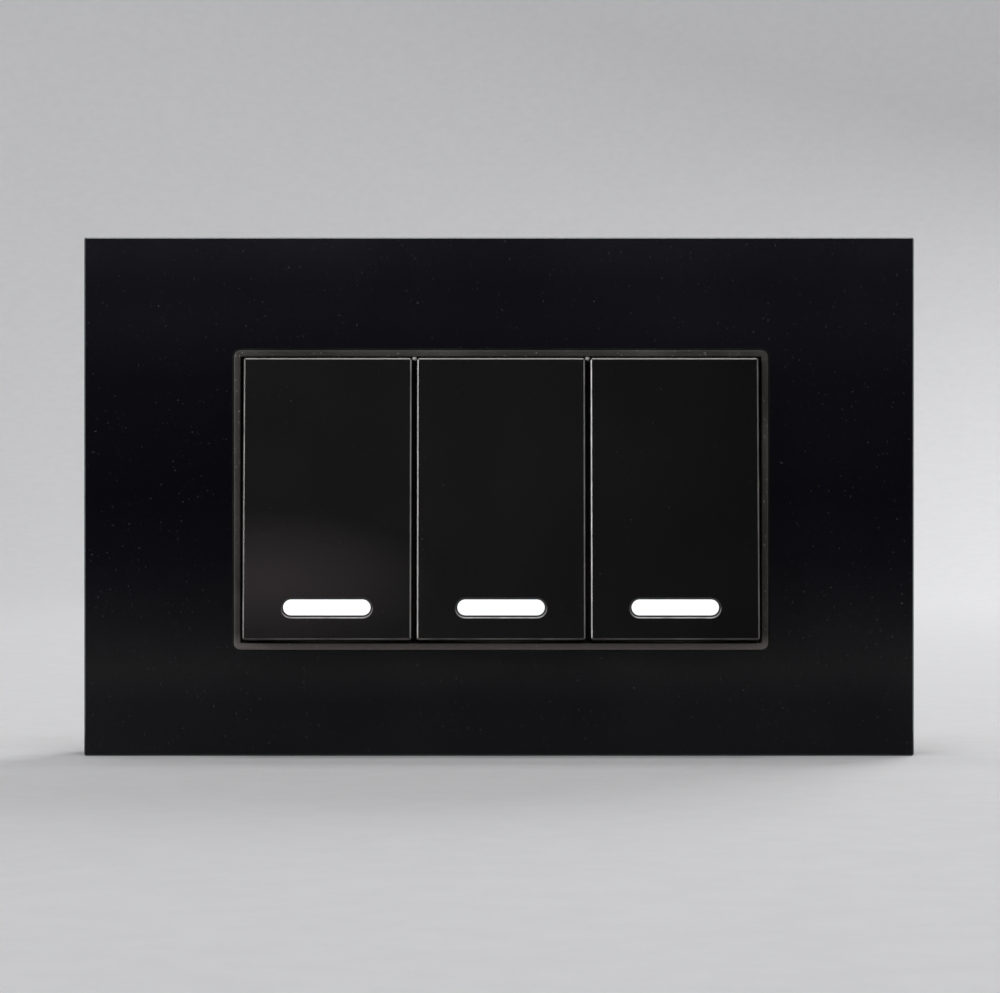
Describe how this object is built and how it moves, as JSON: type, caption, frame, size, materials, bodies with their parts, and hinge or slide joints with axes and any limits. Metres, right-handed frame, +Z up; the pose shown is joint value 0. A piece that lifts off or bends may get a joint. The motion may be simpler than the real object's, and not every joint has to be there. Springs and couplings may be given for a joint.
{
  "type": "wall plate cover",
  "caption": "Black glass wall plate cover that snaps over a set of rocker light switches with white indicator windows, for a rectangular wall box.",
  "frame": {"origin": "middle of the rockers' opening on the wall plane, midway between the two box screws", "axes": "+X along the plate's width to the right as seen from the room, +Z up, -Y out of the wall towards the room"},
  "size_m": [0.12, 0.0379, 0.075],
  "materials": {
    "black_glass": "polished, back-painted black",
    "foam_tape": "matt closed-cell foam",
    "frame_plastic": "fine moulded texture",
    "bezel_plastic": "satin charcoal grey",
    "carrier_plastic": "glass-filled, fine moulded texture",
    "spring_steel": "bright drawn",
    "zinc_steel": "zinc plated",
    "housing_plastic": "satin off-white",
    "cover_plastic": "fine moulded texture",
    "terminal_brass": "machined",
    "contact_silver": "satin silver",
    "circuit_board": "solder mask",
    "lamp_glass": "frosted, water clear",
    "resistor_body": "lacquered",
    "lead_insulation": "extruded",
    "rocker_plastic": "high gloss, near black",
    "lever_plastic": "self-lubricating, natural",
    "lens_white": "white translucent",
    "arm_copper": "stamped copper alloy"
  },
  "bodies": {
    "support": {"mounting_frame": "carrier_plastic", "retaining_clips": "spring_steel", "box_screws": "zinc_steel", "housing_1": "housing_plastic", "module_cover_1": "cover_plastic", "common_terminal_1": "terminal_brass", "load_terminal_1": "terminal_brass", "fixed_contact_1": "contact_silver", "terminal_screws_1": "zinc_steel", "lamp_board_1": "circuit_board", "lamp_1": "lamp_glass", "resistor_1": "resistor_body", "lamp_leads_1": "lead_insulation", "housing_2": "housing_plastic", "module_cover_2": "cover_plastic", "common_terminal_2": "terminal_brass", "load_terminal_2": "terminal_brass", "fixed_contact_2": "contact_silver", "terminal_screws_2": "zinc_steel", "lamp_board_2": "circuit_board", "lamp_2": "lamp_glass", "resistor_2": "resistor_body", "lamp_leads_2": "lead_insulation", "housing_3": "housing_plastic", "module_cover_3": "cover_plastic", "common_terminal_3": "terminal_brass", "load_terminal_3": "terminal_brass", "fixed_contact_3": "contact_silver", "terminal_screws_3": "zinc_steel", "lamp_board_3": "circuit_board", "lamp_3": "lamp_glass", "resistor_3": "resistor_body", "lamp_leads_3": "lead_insulation"},
    "cover": {"glass_panel": "black_glass", "adhesive_tape": "foam_tape", "cover_frame": "frame_plastic", "opening_bezel": "bezel_plastic"},
    "rocker_1": {"rocker_cap_1": "rocker_plastic", "rocker_lever_1": "lever_plastic", "indicator_lens_1": "lens_white"},
    "plunger_1": {"plunger_1": "terminal_brass", "plunger_spring_1": "spring_steel"},
    "contact_arm_1": {"contact_arm_1": "arm_copper", "moving_contact_1": "contact_silver"},
    "rocker_2": {"rocker_cap_2": "rocker_plastic", "rocker_lever_2": "lever_plastic", "indicator_lens_2": "lens_white"},
    "plunger_2": {"plunger_2": "terminal_brass", "plunger_spring_2": "spring_steel"},
    "contact_arm_2": {"contact_arm_2": "arm_copper", "moving_contact_2": "contact_silver"},
    "rocker_3": {"rocker_cap_3": "rocker_plastic", "rocker_lever_3": "lever_plastic", "indicator_lens_3": "lens_white"},
    "plunger_3": {"plunger_3": "terminal_brass", "plunger_spring_3": "spring_steel"},
    "contact_arm_3": {"contact_arm_3": "arm_copper", "moving_contact_3": "contact_silver"}
  },
  "joints": [
    {"name": "cover_release", "type": "slide", "parent": "support", "child": "cover", "axis": [0, -1, 0], "range_m": [0, 0.02], "deforming": ["retaining_clips"]},
    {"name": "rocker_1_tilt", "type": "hinge", "parent": "support", "child": "rocker_1", "pos_m": [-0.025, -0.0094, 0], "axis": [1, 0, 0], "range_deg": [0, 8]},
    {"name": "plunger_1_press", "type": "slide", "parent": "rocker_1", "child": "plunger_1", "axis": [0, -0.9976, 0.0698], "range_m": [0, 0.0006], "stiffness_N_per_m": 400, "springref_m": -0.0012, "deforming": ["plunger_spring_1"]},
    {"name": "contact_arm_1_rock", "type": "hinge", "parent": "support", "child": "contact_arm_1", "pos_m": [-0.025, 0.01, 0], "axis": [1, 0, 0], "range_deg": [-16, 0]},
    {"name": "rocker_2_tilt", "type": "hinge", "parent": "support", "child": "rocker_2", "pos_m": [0, -0.0094, 0], "axis": [1, 0, 0], "range_deg": [0, 8]},
    {"name": "plunger_2_press", "type": "slide", "parent": "rocker_2", "child": "plunger_2", "axis": [0, -0.9976, 0.0698], "range_m": [0, 0.0006], "stiffness_N_per_m": 400, "springref_m": -0.0012, "deforming": ["plunger_spring_2"]},
    {"name": "contact_arm_2_rock", "type": "hinge", "parent": "support", "child": "contact_arm_2", "pos_m": [0, 0.01, 0], "axis": [1, 0, 0], "range_deg": [-16, 0]},
    {"name": "rocker_3_tilt", "type": "hinge", "parent": "support", "child": "rocker_3", "pos_m": [0.025, -0.0094, 0], "axis": [1, 0, 0], "range_deg": [0, 8]},
    {"name": "plunger_3_press", "type": "slide", "parent": "rocker_3", "child": "plunger_3", "axis": [0, -0.9976, 0.0698], "range_m": [0, 0.0006], "stiffness_N_per_m": 400, "springref_m": -0.0012, "deforming": ["plunger_spring_3"]},
    {"name": "contact_arm_3_rock", "type": "hinge", "parent": "support", "child": "contact_arm_3", "pos_m": [0.025, 0.01, 0], "axis": [1, 0, 0], "range_deg": [-16, 0]}
  ],
  "couplings": [
    {"joint": "contact_arm_1_rock", "follows": "rocker_1_tilt", "ratio": -2},
    {"joint": "contact_arm_2_rock", "follows": "rocker_2_tilt", "ratio": -2},
    {"joint": "contact_arm_3_rock", "follows": "rocker_3_tilt", "ratio": -2}
  ]
}
